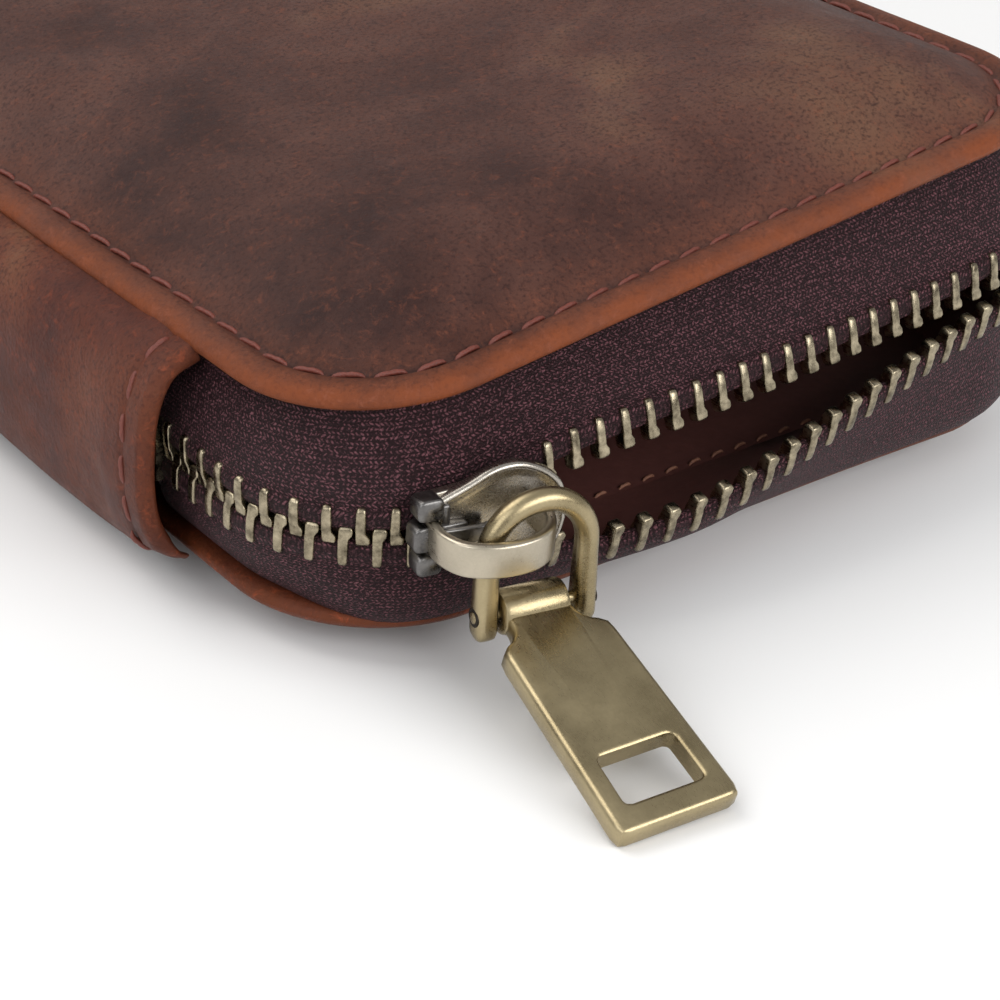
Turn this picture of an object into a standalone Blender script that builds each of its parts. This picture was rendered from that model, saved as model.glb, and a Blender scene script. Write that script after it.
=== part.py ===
"""Zip-around leather pouch: two padded covers, a leather spine, a metal zip and its slider.

Lengths in this script are millimetres, and every mesh is scaled to metres as it is made.
The pouch lies on its bottom cover. +X runs across the front from the spine to the open
side, +Y runs from the front to the back, and +Z is up. The origin is the middle of the
flat base.
"""
import math

import bmesh
import bpy
from mathutils import Matrix, Vector

MM = 0.001

# Driving dimensions.
WIDTH = 85.0             # spine edge to open edge
LENGTH = 185.0           # front edge to back edge
CORNER = 14.0            # plan radius of the covers
RIM_LIFT = 3.0           # underside of the bottom rim above the table
RIM_THICK = 2.0          # turned leather edge of each cover
SPINE_RISE = 22.4        # underside of the top rim above the table, at the spine
GAPE = math.radians(7.4) # how far the top cover stands open
GAP = 0.3                # space kept between pieces that touch
ZIP_MIDDLE = 12.7        # middle of the closed chain above the table
HIDDEN_ZIP = 24.0        # the zip starts this far behind the front edge, under the spine
SPINE_END = 18.5         # the spine strip stops this far from the front and back edges
STITCH_INSET = 3.0
THREAD = 0.5

TOOTH_PITCH = 2.54
TOOTH_THICK = 1.1
TOOTH_DEPTH = 2.2        # through the tape
TOOTH_TALL = 3.55        # from the hook to the outer end of the bar
BAR_HEIGHT = 0.9
TAPE_THICK = 0.7
TAPE_INSET = 2.3
TAPE_BULGE = 0.5

SLIDER_PLACE = (14.0, -0.4)     # from the spine edge, from the front edge
SLIDER_TURN = math.radians(-12.0)
BAIL_PIVOT = (-2.8, 5.9)        # along the slider, out from its middle plane
BAIL_TURN = SLIDER_TURN
BAIL_WIDE = 9.4
WIRE = 2.0
PIN_HEIGHT = 7.7
PLATE_DROP = math.radians(17.2)
PLATE_REACH = 22.6              # pin to tip
PLATE_SKEW = math.radians(4.5)  # the plate hangs a little askew on its pin
PLATE_THICK = 2.0

MATERIALS = {
    "leather": ((0.105, 0.042, 0.022), 0.48, 0.0),
    "board": ((0.30, 0.27, 0.22), 0.9, 0.0),
    "lining": ((0.055, 0.020, 0.014), 0.7, 0.0),
    "tape": ((0.030, 0.015, 0.018), 0.85, 0.0),
    "thread": ((0.30, 0.10, 0.055), 0.6, 0.0),
    "teeth": ((0.50, 0.44, 0.32), 0.32, 1.0),
    "slider": ((0.34, 0.33, 0.31), 0.30, 1.0),
    "pull": ((0.40, 0.35, 0.24), 0.30, 1.0),
}


def clear_scene():
    for old in list(bpy.data.objects):
        bpy.data.objects.remove(old, do_unlink=True)


def material(name):
    """One Principled material for each kind of stuff, made once."""
    found = bpy.data.materials.get(name)
    if found:
        return found
    colour, roughness, metallic = MATERIALS[name]
    made = bpy.data.materials.new(name)
    made.use_nodes = True
    shader = made.node_tree.nodes["Principled BSDF"]
    shader.inputs["Base Color"].default_value = (*colour, 1.0)
    shader.inputs["Roughness"].default_value = roughness
    shader.inputs["Metallic"].default_value = metallic
    return made


def add_object(name, bm, stuff, parent=None):
    """Turn a bmesh in millimetres into a named object in metres."""
    bmesh.ops.recalc_face_normals(bm, faces=bm.faces)
    bmesh.ops.scale(bm, vec=(MM, MM, MM), verts=bm.verts)
    mesh = bpy.data.meshes.new(name)
    bm.to_mesh(mesh)
    bm.free()
    made = bpy.data.objects.new(name, mesh)
    mesh.materials.append(material(stuff))
    bpy.context.scene.collection.objects.link(made)
    if parent:
        made.parent = parent
    return made


def loft(sections, joined=False):
    """Skin closed sections of equal count. joined makes a ring, otherwise both ends are capped."""
    bm = bmesh.new()
    rows = [[bm.verts.new(point) for point in section] for section in sections]
    count = len(rows[0])
    strips = []
    for first, second in zip(rows, rows[1:] + ([rows[0]] if joined else [])):
        quads = [(first[i], first[(i + 1) % count], second[(i + 1) % count], second[i])
                 for i in range(count)]
        strips.append([bm.faces.new(quad) for quad in quads])
    if not joined:
        bm.faces.new(rows[0])
        bm.faces.new(rows[-1])
    return bm, strips


def outline(inset, steps=8):
    """Points round a cover's plan, inset from its edge."""
    half_wide = WIDTH / 2 - inset
    half_long = LENGTH / 2 - inset
    radius = max(CORNER - inset, 6.0)
    points = []
    for quarter, (sx, sy) in enumerate(((1, 1), (-1, 1), (-1, -1), (1, -1))):
        for step in range(steps + 1):
            angle = (quarter + step / steps) * math.pi / 2
            points.append((sx * (half_wide - radius) + radius * math.cos(angle),
                           sy * (half_long - radius) + radius * math.sin(angle)))
    return points


def panel(name, profile, stuff, parent=None, joined=False):
    """A solid whose rings follow the cover's plan. profile lists (inset, height)."""
    rings = [[(x, y, height) for x, y in outline(inset)] for inset, height in profile]
    bm, _ = loft(rings, joined)
    return add_object(name, bm, stuff, parent)


def groove(surface, depth=0.62, half=0.35):
    """The stitch groove in a cover's skin, as four profile points."""
    return [(STITCH_INSET + half, surface), (STITCH_INSET + half, surface - depth),
            (STITCH_INSET - half, surface - depth), (STITCH_INSET - half, surface)]


def stitch_ring(name, height, parent=None):
    """The thread that lies in a cover's groove, right round it."""
    corners = [(STITCH_INSET + THREAD / 2 * math.cos(math.radians(a)),
                height + THREAD / 2 * math.sin(math.radians(a))) for a in range(0, 360, 60)]
    return panel(name, corners, "thread", parent, joined=True)


# Covers. A cover's own plane is its rim's inner face.

def cover_skin(dome):
    """Profile of the leather of one cover, from the middle of its outside to its inside.

    Heights grow outwards from the rim's inner face. dome is the crown of the padding.
    """
    top = RIM_THICK
    crown = top + dome
    outside = [(30.0, crown), (20.0, crown), (13.5, top + dome * 0.86), (8.5, top + dome * 0.52),
               (5.2, top + dome * 0.2)]
    rim = groove(top) + [(1.3, top - 0.12), (0.45, top - 0.5), (0.0, top * 0.5),
                         (0.35, 0.35), (1.1, 0.0), (4.6, 0.0)]
    inside = [(6.4, dome * 0.2), (9.4, dome * 0.52 + 0.3), (14.2, crown - 2.0), (30.0, crown - 1.6)]
    return outside + rim + inside


def cover_board(dome):
    """The stiffener and padding that fills the hollow of a cover."""
    crown = RIM_THICK + dome
    return [(30.0, 0.1), (7.6, 0.1), (7.5, dome * 0.16), (10.0, dome * 0.45),
            (14.8, crown - 2.4), (30.0, crown - 1.95)]


BOTTOM_DOME = RIM_LIFT
TOP_DOME = 4.6
LINING = [(30.0, -0.3), (3.7, -0.3), (3.7, -0.9), (30.0, -0.9)]


def flipped(profile, plane):
    """The same profile facing down, with its inner face at the height plane."""
    return [(inset, plane - height) for inset, height in profile]


def make_bottom():
    plane = RIM_LIFT + RIM_THICK
    panel("bottom_cover", flipped(cover_skin(BOTTOM_DOME), plane), "leather")
    panel("bottom_cover_board", flipped(cover_board(BOTTOM_DOME), plane), "board")
    panel("bottom_cover_lining", flipped(LINING, plane), "lining")
    stitch_ring("bottom_cover_thread", plane - RIM_THICK + THREAD / 2 + 0.1)


def cover_frame():
    """Empty whose XY plane is the top cover's inner face, tilted up from the spine edge."""
    frame = bpy.data.objects.new("top_cover_frame", None)
    bpy.context.scene.collection.objects.link(frame)
    edge = Vector((-WIDTH / 2, 0.0, SPINE_RISE)) * MM
    back = Matrix.Translation(Vector((WIDTH / 2, 0.0, 0.0)) * MM)
    frame.matrix_world = Matrix.Translation(edge) @ Matrix.Rotation(-GAPE, 4, "Y") @ back
    return frame


def make_top():
    frame = cover_frame()
    panel("top_cover", cover_skin(TOP_DOME), "leather", frame)
    panel("top_cover_board", cover_board(TOP_DOME), "board", frame)
    panel("top_cover_lining", LINING, "lining", frame)
    stitch_ring("top_cover_thread", RIM_THICK - THREAD / 2 - 0.1, frame)


def rim_underside(x):
    """Height of the top rim's inner face above a point x from the middle."""
    return SPINE_RISE + (x + WIDTH / 2) * math.tan(GAPE)


# The inside: spine lining and the slip pocket on the bottom lining.

def slab(name, low, high, stuff):
    """A plain box between two corners."""
    bm = bmesh.new()
    bmesh.ops.create_cube(bm, size=1.0)
    size = Vector(high) - Vector(low)
    bmesh.ops.scale(bm, vec=size, verts=bm.verts)
    bmesh.ops.translate(bm, vec=(Vector(high) + Vector(low)) / 2, verts=bm.verts)
    return add_object(name, bm, stuff)


def make_inside():
    left = -WIDTH / 2
    front = -LENGTH / 2
    floor = RIM_LIFT + RIM_THICK + 0.9
    slab("spine_lining", (left + 4.4, front + 12.0, floor + GAP),
         (left + 5.0, -front - 12.0, SPINE_RISE - 1.3), "lining")
    slab("pocket_panel", (left + 8.0, front + 6.5, floor + GAP),
         (-left - 8.0, front + 112.0, floor + GAP + 0.9), "lining")
    stitch = floor + GAP + 0.9 + 0.1
    slab("pocket_thread", (left + 10.0, front + 8.6, stitch),
         (-left - 10.0, front + 9.0, stitch + 0.4), "thread")


# Spine strip.

SPINE_CURVE = [(0.9, 1.5), (-0.7, 2.0), (-2.3, 4.2), (-3.4, 7.8), (-3.8, 12.2),
               (-3.6, 16.4), (-2.9, 19.2), (-1.9, 20.7), (-0.6, 21.4)]


def offset_curve(curve, distance):
    """The curve moved sideways, to its left, by a distance."""
    moved = []
    for index, point in enumerate(curve):
        before = Vector(curve[max(index - 1, 0)])
        after = Vector(curve[min(index + 1, len(curve) - 1)])
        along = (after - before).normalized()
        moved.append(Vector(point) + Vector((-along.y, along.x)) * distance)
    return moved


def spine_band(name, thick, raised, front, back, stuff):
    """A band on the spine's curve between two distances from the front edge."""
    outer = offset_curve(SPINE_CURVE, raised + thick / 2)
    inner = offset_curve(SPINE_CURVE, raised - thick / 2)
    ring = outer + inner[::-1]
    ends = [[(p.x - WIDTH / 2, y - LENGTH / 2, p.y) for p in ring] for y in (front, back)]
    bm, _ = loft(ends)
    return add_object(name, bm, stuff)


def make_spine():
    spine_band("spine_strip", 1.4, 0.0, SPINE_END, LENGTH - SPINE_END, "leather")
    above = 0.7 + 0.1 + THREAD / 2
    for name, place in (("spine_thread_front", SPINE_END + STITCH_INSET),
                        ("spine_thread_back", LENGTH - SPINE_END - STITCH_INSET)):
        spine_band(name, THREAD, above, place - THREAD / 2, place + THREAD / 2, "thread")


# Zip. Its path is measured along the covers' edge: from the hidden start on the spine
# side, round the front, the open side and the back, to the spine side again.

STUB = HIDDEN_ZIP - CORNER
ARC = CORNER * math.pi / 2
FRONT_RUN = WIDTH - 2 * CORNER
SIDE_RUN = LENGTH - 2 * CORNER
PATH_LENGTH = 2 * STUB + 4 * ARC + 2 * FRONT_RUN + SIDE_RUN


def path_point(along):
    """Point of the covers' edge, and its outward direction, at a distance along the zip."""
    x, y = -WIDTH / 2, -LENGTH / 2 + HIDDEN_ZIP
    heading = -math.pi / 2
    left = along
    for run, turning in ((STUB, False), (ARC, True), (FRONT_RUN, False), (ARC, True),
                         (SIDE_RUN, False), (ARC, True), (FRONT_RUN, False), (ARC, True),
                         (STUB + 5.0, False)):
        part = min(left, run)
        if run == STUB and left < 0:
            part = left
        if turning:
            turn = part / CORNER
            x += CORNER * (math.sin(heading + turn) - math.sin(heading))
            y -= CORNER * (math.cos(heading + turn) - math.cos(heading))
            heading += turn
        else:
            x += part * math.cos(heading)
            y += part * math.sin(heading)
        left -= part
        if left <= 0:
            break
    return Vector((x, y)), Vector((math.sin(heading), -math.cos(heading)))


OPEN_CORNER = STUB + 2 * ARC + FRONT_RUN
BACK_CORNER = OPEN_CORNER + SIDE_RUN
FAR_SPINE = BACK_CORNER + 2 * ARC + FRONT_RUN

# Hook height and how far the row stands out from the covers' edge, along the zip.
UPPER_ROW = [(0, 12.1, 0.5), (30, 12.1, 0.5), (35, 14.0, 1.2), (39, 15.6, 2.0),
             (53, 16.8, 2.8), (71, 18.1, 2.8), (84, 19.2, 2.6), (94, 20.4, 2.0),
             (OPEN_CORNER, 21.0, 1.5), (BACK_CORNER, 20.0, 1.5),
             (FAR_SPINE - ARC, 15.5, 1.0), (PATH_LENGTH, 13.6, 0.5)]
LOWER_ROW = [(0, 13.3, 0.5), (30, 13.3, 0.5), (35, 11.4, 1.2), (39, 10.3, 2.0),
             (45, 9.9, 4.0), (53, 10.2, 6.0), (60, 12.2, 5.8), (69, 15.0, 5.0),
             (84, 18.4, 3.4), (94, 19.7, 2.2), (OPEN_CORNER, 20.2, 1.5),
             (BACK_CORNER, 19.2, 1.5), (FAR_SPINE - ARC, 14.6, 1.0), (PATH_LENGTH, 12.6, 0.5)]


def smooth_row(row, along):
    """Height and outward distance of a row, eased through its listed points."""
    slopes = []
    for index in range(len(row)):
        before, after = row[max(index - 1, 0)], row[min(index + 1, len(row) - 1)]
        slopes.append([(after[k] - before[k]) / (after[0] - before[0]) for k in (1, 2)])
    index = max(i for i in range(len(row) - 1) if row[i][0] <= max(along, 0.0))
    start, end = row[index], row[index + 1]
    span = end[0] - start[0]
    t = min(max((along - start[0]) / span, 0.0), 1.0)
    values = []
    for k in (0, 1):
        ease = ((2 * t ** 3 - 3 * t ** 2 + 1) * start[k + 1]
                + (t ** 3 - 2 * t ** 2 + t) * span * slopes[index][k]
                + (3 * t ** 2 - 2 * t ** 3) * end[k + 1]
                + (t ** 3 - t ** 2) * span * slopes[index + 1][k])
        values.append(ease)
    return values


def bar_section(along, row, up):
    """Rectangle of a row's bar at a distance along the zip. up is 1 for the upper row."""
    height, out = smooth_row(row, along)
    edge, outward = path_point(along)
    near = height + up * (TOOTH_TALL - BAR_HEIGHT)
    far = height + up * TOOTH_TALL
    front = edge + outward * (out + TOOTH_DEPTH / 2)
    back = edge + outward * (out - TOOTH_DEPTH / 2)
    return [(front.x, front.y, near), (back.x, back.y, near),
            (back.x, back.y, far), (front.x, front.y, far)]


def chain(name, row, up, first):
    """One row of teeth on its bar: a comb whose teeth point at the other row."""
    sections = []
    count = int((PATH_LENGTH - 2.0 - first) / TOOTH_PITCH)
    for tooth in range(count):
        start = first + tooth * TOOTH_PITCH
        sections.append(bar_section(start, row, up))
        sections.append(bar_section(start + TOOTH_THICK, row, up))
    bm, strips = loft(sections)
    faces = [strips[2 * tooth][0] for tooth in range(count)]
    grown = bmesh.ops.extrude_discrete_faces(bm, faces=faces)["faces"]
    reach = Vector((0.0, 0.0, -up * (TOOTH_TALL - BAR_HEIGHT)))
    bmesh.ops.translate(bm, vec=reach, verts=list({v for f in grown for v in f.verts}))
    return add_object(name, bm, "teeth")


def tape_section(along, row, up):
    """Outline of a tape across its width, from the cover's seam to the row of teeth."""
    height, out = smooth_row(row, along)
    edge, outward = path_point(along)
    if up > 0:
        seam_height = rim_underside(edge.x + outward.x * -TAPE_INSET) - GAP - 0.1
    else:
        seam_height = RIM_LIFT + RIM_THICK + GAP + 0.45
    seam = Vector((-TAPE_INSET, seam_height))
    hem = Vector((out, height + up * (TOOTH_TALL + GAP + TAPE_THICK / 2)))
    steps = 4
    middle = []
    for step in range(steps + 1):
        t = step / steps
        bulge = Vector((TAPE_BULGE, 0.0)) * 4 * t * (1 - t)
        middle.append(seam.lerp(hem, t) + bulge)
    skins = offset_curve(middle, TAPE_THICK / 2) + offset_curve(middle, -TAPE_THICK / 2)[::-1]
    places = [(edge + outward * p.x, p.y) for p in skins]
    return [(place.x, place.y, z) for place, z in places]


def tape(name, row, up):
    """One woven tape, as a wall round three sides of the pouch."""
    count = 120
    sections = [tape_section(PATH_LENGTH * i / count, row, up) for i in range(count + 1)]
    bm, _ = loft(sections)
    return add_object(name, bm, "tape")


def stop(name, along, low, high, out):
    """A clamped metal stop across one row or both."""
    edge, outward = path_point(along)
    side = Vector((-outward.y, outward.x))
    sections = []
    for z in (low, high):
        sections.append([(*(edge + outward * (out + a) + side * b), z)
                         for a, b in ((-1.1, -0.9), (1.1, -0.9), (1.1, 0.9), (-1.1, 0.9))])
    bm, _ = loft(sections)
    return add_object(name, bm, "teeth")


def make_zip():
    tape("zip_tape_upper", UPPER_ROW, 1)
    tape("zip_tape_lower", LOWER_ROW, -1)
    chain("zip_chain_upper", UPPER_ROW, 1, 1.6)
    chain("zip_chain_lower", LOWER_ROW, -1, 1.6 + TOOTH_PITCH / 2)
    stop("bottom_stop", 0.2, ZIP_MIDDLE - 2.9, ZIP_MIDDLE + 2.9, 0.5)
    end = PATH_LENGTH - 0.6
    upper, _ = smooth_row(UPPER_ROW, end)
    lower, _ = smooth_row(LOWER_ROW, end)
    stop("top_stop_upper", end + 2.2, upper + 0.1, upper + TOOTH_TALL, 0.5)
    stop("top_stop_lower", end, lower - TOOTH_TALL, lower - 0.1, 0.5)


# Slider. Its own frame has x along the zip, y into the pouch and z up.

PLATE_OUT = 1.5          # inner face of each plate from the zip's middle plane
PLATE_SKIN = 1.1


def shield():
    """Half outline of the slider's plates: narrow at the closed end, round at the other."""
    return [(-7.6, 3.3), (-7.0, 4.0), (-2.5, 4.2), (2.0, 5.4), (4.0, 5.6), (5.8, 4.9),
            (7.1, 3.2), (7.8, 1.2)]


def prism(outline_xz, near, far):
    """A flat outline in the slider's xz plane, thick from y near to y far."""
    bm, _ = loft([[(x, y, z) for x, z in outline_xz] for y in (near, far)])
    return bm


def whole(half):
    """A closed outline from its upper half."""
    return half + [(x, -z) for x, z in half[::-1]]


def slider_frame():
    frame = bpy.data.objects.new("slider_frame", None)
    bpy.context.scene.collection.objects.link(frame)
    place = Vector((SLIDER_PLACE[0] - WIDTH / 2, SLIDER_PLACE[1] - LENGTH / 2, ZIP_MIDDLE))
    frame.matrix_world = Matrix.Translation(place * MM) @ Matrix.Rotation(SLIDER_TURN, 4, "Z")
    return frame


def join_in(base, tool, operation="UNION"):
    """Apply one exact Boolean between bodies made in the same frame, then drop the tool."""
    change = base.modifiers.new(operation.lower(), "BOOLEAN")
    change.operation = operation
    change.solver = "EXACT"
    change.object = tool
    bpy.context.view_layer.update()
    seen = base.evaluated_get(bpy.context.evaluated_depsgraph_get())
    result = bpy.data.meshes.new_from_object(seen)
    base.modifiers.clear()
    base.data = result
    bpy.data.objects.remove(tool, do_unlink=True)


def make_slider(frame):
    body = add_object("slider_body", prism(whole(shield()), -PLATE_OUT - PLATE_SKIN, -PLATE_OUT),
                      "slider", frame)
    back = [(max(x, -6.4), z * 0.94) for x, z in shield()]
    pieces = [prism(whole(back), PLATE_OUT, PLATE_OUT + PLATE_SKIN)]
    wedge = [(3.4, 0.0), (4.6, 0.55), (6.6, 0.8), (7.5, 0.4)]
    pieces.append(prism(whole(wedge)[1:], -PLATE_OUT - 0.4, PLATE_OUT + 0.4))
    for up in (1, -1):
        for near, far in ((-PLATE_OUT - 0.2, -1.0), (1.0, PLATE_OUT + 0.2)):
            rail = [(-7.2, 3.3 * up), (-3.0, 3.5 * up), (0.4, 4.5 * up),
                    (0.4, 4.95 * up), (-3.0, 4.1 * up), (-7.2, 3.85 * up)]
            pieces.append(prism(rail, near, far))
    for piece in pieces:
        join_in(body, add_object("slider_piece", piece, "slider", frame))


def arch(name, points, wide, thick, stuff, frame):
    """A strap over a route of (along, outward) points in the slider's frame."""
    outer = offset_curve(points, thick / 2)
    inner = offset_curve(points, -thick / 2)
    ring = outer + inner[::-1]
    bm, _ = loft([[(p.x, -p.y, z) for p in ring] for z in (-wide / 2, wide / 2)])
    return add_object(name, bm, stuff, frame)


def make_bridge(frame):
    face = PLATE_OUT + PLATE_SKIN + GAP
    arch("slider_bridge", [(-6.3, face), (-6.2, 4.8), (-5.2, 6.7), (-3.2, 7.75), (-0.8, 8.1),
                           (1.8, 7.8), (4.0, 6.7), (5.3, 5.0), (5.7, face)], 3.0, 0.9,
         "slider", frame)
    arch("locking_pawl", [(-5.4, 3.3), (-3.2, 3.35), (-1.0, 3.25)], 1.8, 0.5, "slider", frame)


# Pull: a wire bail, its pin, and the plate that hangs from the pin.

def bail_frame(slider):
    """Empty on the bail's standing leg, turned so that x runs to the other leg."""
    along, out = BAIL_PIVOT
    foot = slider.matrix_world @ (Vector((along, -out, 0.0)) * MM)
    frame = bpy.data.objects.new("bail_frame", None)
    bpy.context.scene.collection.objects.link(frame)
    frame.matrix_world = (Matrix.Translation((foot.x, foot.y, PIN_HEIGHT * MM))
                          @ Matrix.Rotation(BAIL_TURN, 4, "Z"))
    return frame


def wire(name, points, thick, stuff, frame):
    """A round wire along a route in millimetres."""
    curve = bpy.data.curves.new(name, "CURVE")
    curve.dimensions = "3D"
    curve.bevel_depth = thick / 2 * MM
    curve.bevel_resolution = 3
    curve.use_fill_caps = True
    spline = curve.splines.new("POLY")
    spline.points.add(len(points) - 1)
    for knot, point in zip(spline.points, points):
        knot.co = (*(Vector(point) * MM), 1.0)
    curve.materials.append(material(stuff))
    made = bpy.data.objects.new(name, curve)
    bpy.context.scene.collection.objects.link(made)
    made.parent = frame
    return made


def make_bail(frame):
    radius = BAIL_WIDE / 2
    shoulder = 5.3
    points = [(0.0, 0.0, -1.9), (0.0, 0.0, 1.5), (0.0, 0.0, 4.5)]
    for step in range(13):
        angle = math.pi - math.pi * step / 12
        points.append((radius + radius * math.cos(angle), 0.0,
                       shoulder + radius * math.sin(angle)))
    points += [(BAIL_WIDE, 0.0, 4.5), (BAIL_WIDE, 0.0, 1.5), (BAIL_WIDE, 0.0, -1.9)]
    wire("pull_bail", points, WIRE, "pull", frame)
    reach = WIRE / 2 + GAP
    wire("pull_pin", [(reach, 0.0, 0.0), (BAIL_WIDE - reach, 0.0, 0.0)], 1.6, "pull", frame)


def plate_frame(bail):
    """Empty on the pin: x along the pin, -y towards the tip, tilted down to the table."""
    middle = bail.matrix_world @ (Vector((BAIL_WIDE / 2, 0.0, 0.0)) * MM)
    frame = bpy.data.objects.new("plate_frame", None)
    bpy.context.scene.collection.objects.link(frame)
    frame.matrix_world = (Matrix.Translation(middle) @ Matrix.Rotation(BAIL_TURN, 4, "Z")
                          @ Matrix.Rotation(PLATE_DROP, 4, "X"))
    return frame


def flat_prism(points, low, high):
    """An outline in a frame's xy plane, turned askew, thick from z low to z high."""
    askew = Matrix.Rotation(PLATE_SKEW, 2)
    turned = [askew @ Vector(point) for point in points]
    bm, _ = loft([[(x, y, z) for x, y in turned] for z in (low, high)])
    return bm


def barrel(radius, wide, sides=20):
    """A round bar along x, centred on the pin."""
    bm, _ = loft([[(x, radius * math.cos(2 * math.pi * i / sides),
                    radius * math.sin(2 * math.pi * i / sides)) for i in range(sides)]
                  for x in (-wide / 2, wide / 2)])
    return bm


def make_plate(frame):
    half = PLATE_THICK / 2
    tip = -PLATE_REACH
    blade = [(-2.2, -1.5), (-2.2, -3.2), (-4.5, -3.6), (-5.4, tip + 0.5), (-4.9, tip),
             (4.9, tip), (5.4, tip + 0.5), (4.5, -3.6), (2.2, -3.2), (2.2, -1.5)]
    body = add_object("pull_plate", flat_prism(blade, -half, half), "pull", frame)
    window = [(-3.6, tip + 2.3), (3.6, tip + 2.3), (3.5, tip + 7.0), (-3.5, tip + 7.0)]
    join_in(body, add_object("window", flat_prism(window, -3.0, 3.0), "pull", frame), "DIFFERENCE")
    join_in(body, add_object("neck", barrel(1.9, 4.4), "pull", frame))
    join_in(body, add_object("bore", barrel(1.15, 9.0), "pull", frame), "DIFFERENCE")


def main():
    clear_scene()
    make_bottom()
    make_top()
    make_inside()
    make_spine()
    make_zip()
    slider = slider_frame()
    make_slider(slider)
    make_bridge(slider)
    bail = bail_frame(slider)
    make_bail(bail)
    make_plate(plate_frame(bail))


main()
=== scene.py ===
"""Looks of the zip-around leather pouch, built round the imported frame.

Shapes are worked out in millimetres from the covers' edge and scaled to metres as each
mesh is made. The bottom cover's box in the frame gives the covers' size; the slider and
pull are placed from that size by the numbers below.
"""
from math import cos, exp, pi, radians, sin, sqrt, tan

import bmesh
import bpy
from mathutils import Matrix, Vector, noise


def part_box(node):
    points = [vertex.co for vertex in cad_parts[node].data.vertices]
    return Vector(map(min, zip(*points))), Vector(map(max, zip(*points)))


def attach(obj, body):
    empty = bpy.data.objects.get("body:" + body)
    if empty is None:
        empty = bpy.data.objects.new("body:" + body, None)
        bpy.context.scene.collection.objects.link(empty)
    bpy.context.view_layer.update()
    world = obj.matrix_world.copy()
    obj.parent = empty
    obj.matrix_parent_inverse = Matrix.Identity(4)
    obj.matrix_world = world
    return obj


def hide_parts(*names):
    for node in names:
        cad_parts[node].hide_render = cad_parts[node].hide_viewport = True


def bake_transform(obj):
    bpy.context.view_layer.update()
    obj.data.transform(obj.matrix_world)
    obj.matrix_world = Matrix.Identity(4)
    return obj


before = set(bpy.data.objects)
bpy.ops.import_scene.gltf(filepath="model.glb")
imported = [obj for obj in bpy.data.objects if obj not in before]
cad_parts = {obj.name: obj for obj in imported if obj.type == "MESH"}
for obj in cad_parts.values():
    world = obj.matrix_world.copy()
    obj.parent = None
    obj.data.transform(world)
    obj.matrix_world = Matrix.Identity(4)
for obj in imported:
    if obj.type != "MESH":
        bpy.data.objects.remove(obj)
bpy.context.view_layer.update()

MM = 0.001
UP = Vector((0.0, 0.0, 1.0))

# The covers and the zip, as the frame has them.
LOW, HIGH = (Vector(corner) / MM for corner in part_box("bottom_cover"))
WIDTH = HIGH.x - LOW.x
LENGTH = HIGH.y - LOW.y
CORNER = 14.0
RIM_LIFT = 3.0
RIM_THICK = 2.0
SPINE_RISE = 22.4
GAPE = radians(7.4)
TOP_DOME = 4.6
STITCH_INSET = 3.0
ZIP_MIDDLE = 12.7
HIDDEN_ZIP = 24.0
TOOTH_PITCH = 2.54
TAPE_INSET = 2.3
TAPE_THICK = 0.7
SLIDER_PLACE = (14.0, -0.4)     # from the spine edge, from the front edge
SLIDER_TURN = radians(-12.0)
BAIL_PIVOT = (-2.8, 5.9)        # along the slider, out from its middle plane
BAIL_WIDE = 9.4
BAIL_LEFT = 0.7                 # the left leg, along the pin from its foot's axis
BAIL_FOOT = -2.2                # the wire's ends, below the pin
BAIL_SHOULDER = 5.3
PIN_HEIGHT = 7.7
PLATE_DROP = radians(17.2)
PLATE_SKEW = radians(5.5)
PLATE_REACH = 22.6
PLATE_THICK = 2.0


# ---- camera, light and floor

CAMERA_AZIMUTH = radians(-40.0)
CAMERA_HEIGHT = radians(30.0)
CAMERA_ROLL = radians(3.7)
CAMERA_FAR = 200.1
CAMERA_LENS = 90.0
CAMERA_AIM = (16.4, 0.0, 13.6)   # from the spine edge, the front edge and the table


def add_object(name, data):
    made = bpy.data.objects.new(name, data)
    bpy.context.scene.collection.objects.link(made)
    return made


def make_camera():
    """The main view: the near left corner, with the front side running right."""
    data = bpy.data.cameras.new("camera")
    data.lens = CAMERA_LENS
    data.clip_start = 0.01
    camera = add_object("camera", data)
    aim = Vector((CAMERA_AIM[0] - WIDTH / 2, CAMERA_AIM[1] - LENGTH / 2, CAMERA_AIM[2])) * MM
    forward = Vector((-sin(CAMERA_AZIMUTH) * cos(CAMERA_HEIGHT),
                      cos(CAMERA_AZIMUTH) * cos(CAMERA_HEIGHT),
                      -sin(CAMERA_HEIGHT)))
    right = Vector((cos(CAMERA_AZIMUTH), sin(CAMERA_AZIMUTH), 0.0))
    up = right.cross(forward)
    turned = right * cos(CAMERA_ROLL) + up * sin(CAMERA_ROLL)
    up = turned.cross(forward)
    place = Matrix((turned, up, -forward)).transposed().to_4x4()
    place.translation = aim - forward * CAMERA_FAR * MM
    camera.matrix_world = place
    bpy.context.scene.camera = camera


def area_light(name, place, aim, size, power, colour=(1.0, 1.0, 1.0)):
    data = bpy.data.lights.new(name, "AREA")
    data.shape = "RECTANGLE"
    data.size, data.size_y = size
    data.energy = power
    data.color = colour
    light = add_object(name, data)
    light.location = place
    direction = Vector(aim) - Vector(place)
    light.rotation_euler = direction.to_track_quat("-Z", "Y").to_euler()


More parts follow.
